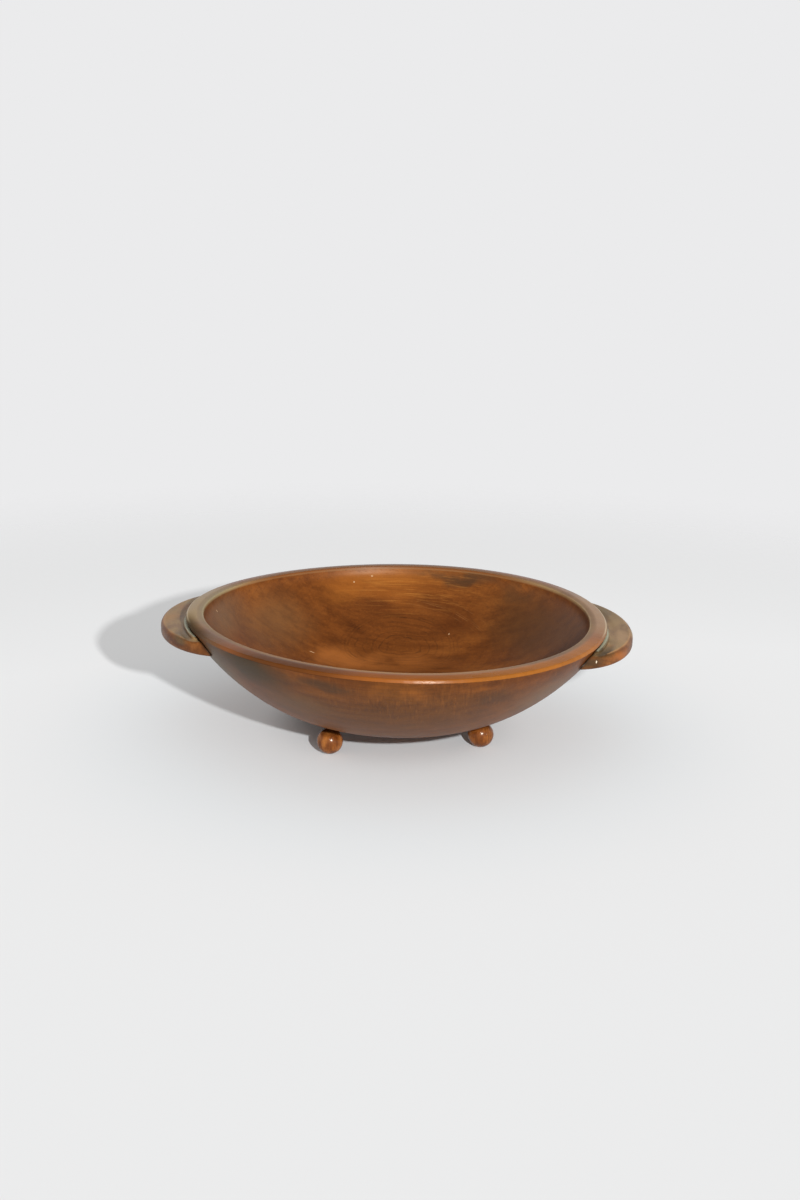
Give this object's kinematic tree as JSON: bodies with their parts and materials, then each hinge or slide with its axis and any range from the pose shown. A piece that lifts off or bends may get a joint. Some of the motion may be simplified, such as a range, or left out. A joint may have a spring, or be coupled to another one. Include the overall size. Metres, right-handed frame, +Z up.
{
  "type": "wooden bowl",
  "caption": "Shallow turned wooden bowl with a broad rolled rim, crescent lug handles set under the rim, and small turned ball feet.",
  "frame": {"origin": "on the ground, under the middle of the bowl", "axes": "+Z up out of the bowl's mouth, X through both handles, the pictured front is -Y"},
  "size_m": [0.3546, 0.3206, 0.0916],
  "materials": {
    "bowl_wood": "satin wax over warm brown stain",
    "handle_wood": "satin wax, lighter where it is worn",
    "foot_wood": "satin, polished by wear",
    "dowel_wood": "bare"
  },
  "bodies": {
    "root": {"bowl": "bowl_wood", "handle_left": "handle_wood", "handle_right": "handle_wood", "handle_dowel_left_front": "dowel_wood", "handle_dowel_left_back": "dowel_wood", "handle_dowel_right_front": "dowel_wood", "handle_dowel_right_back": "dowel_wood", "foot_1": "foot_wood", "foot_2": "foot_wood", "foot_3": "foot_wood", "foot_4": "foot_wood", "foot_dowel_1": "dowel_wood", "foot_dowel_2": "dowel_wood", "foot_dowel_3": "dowel_wood", "foot_dowel_4": "dowel_wood"}
  },
  "joints": []
}
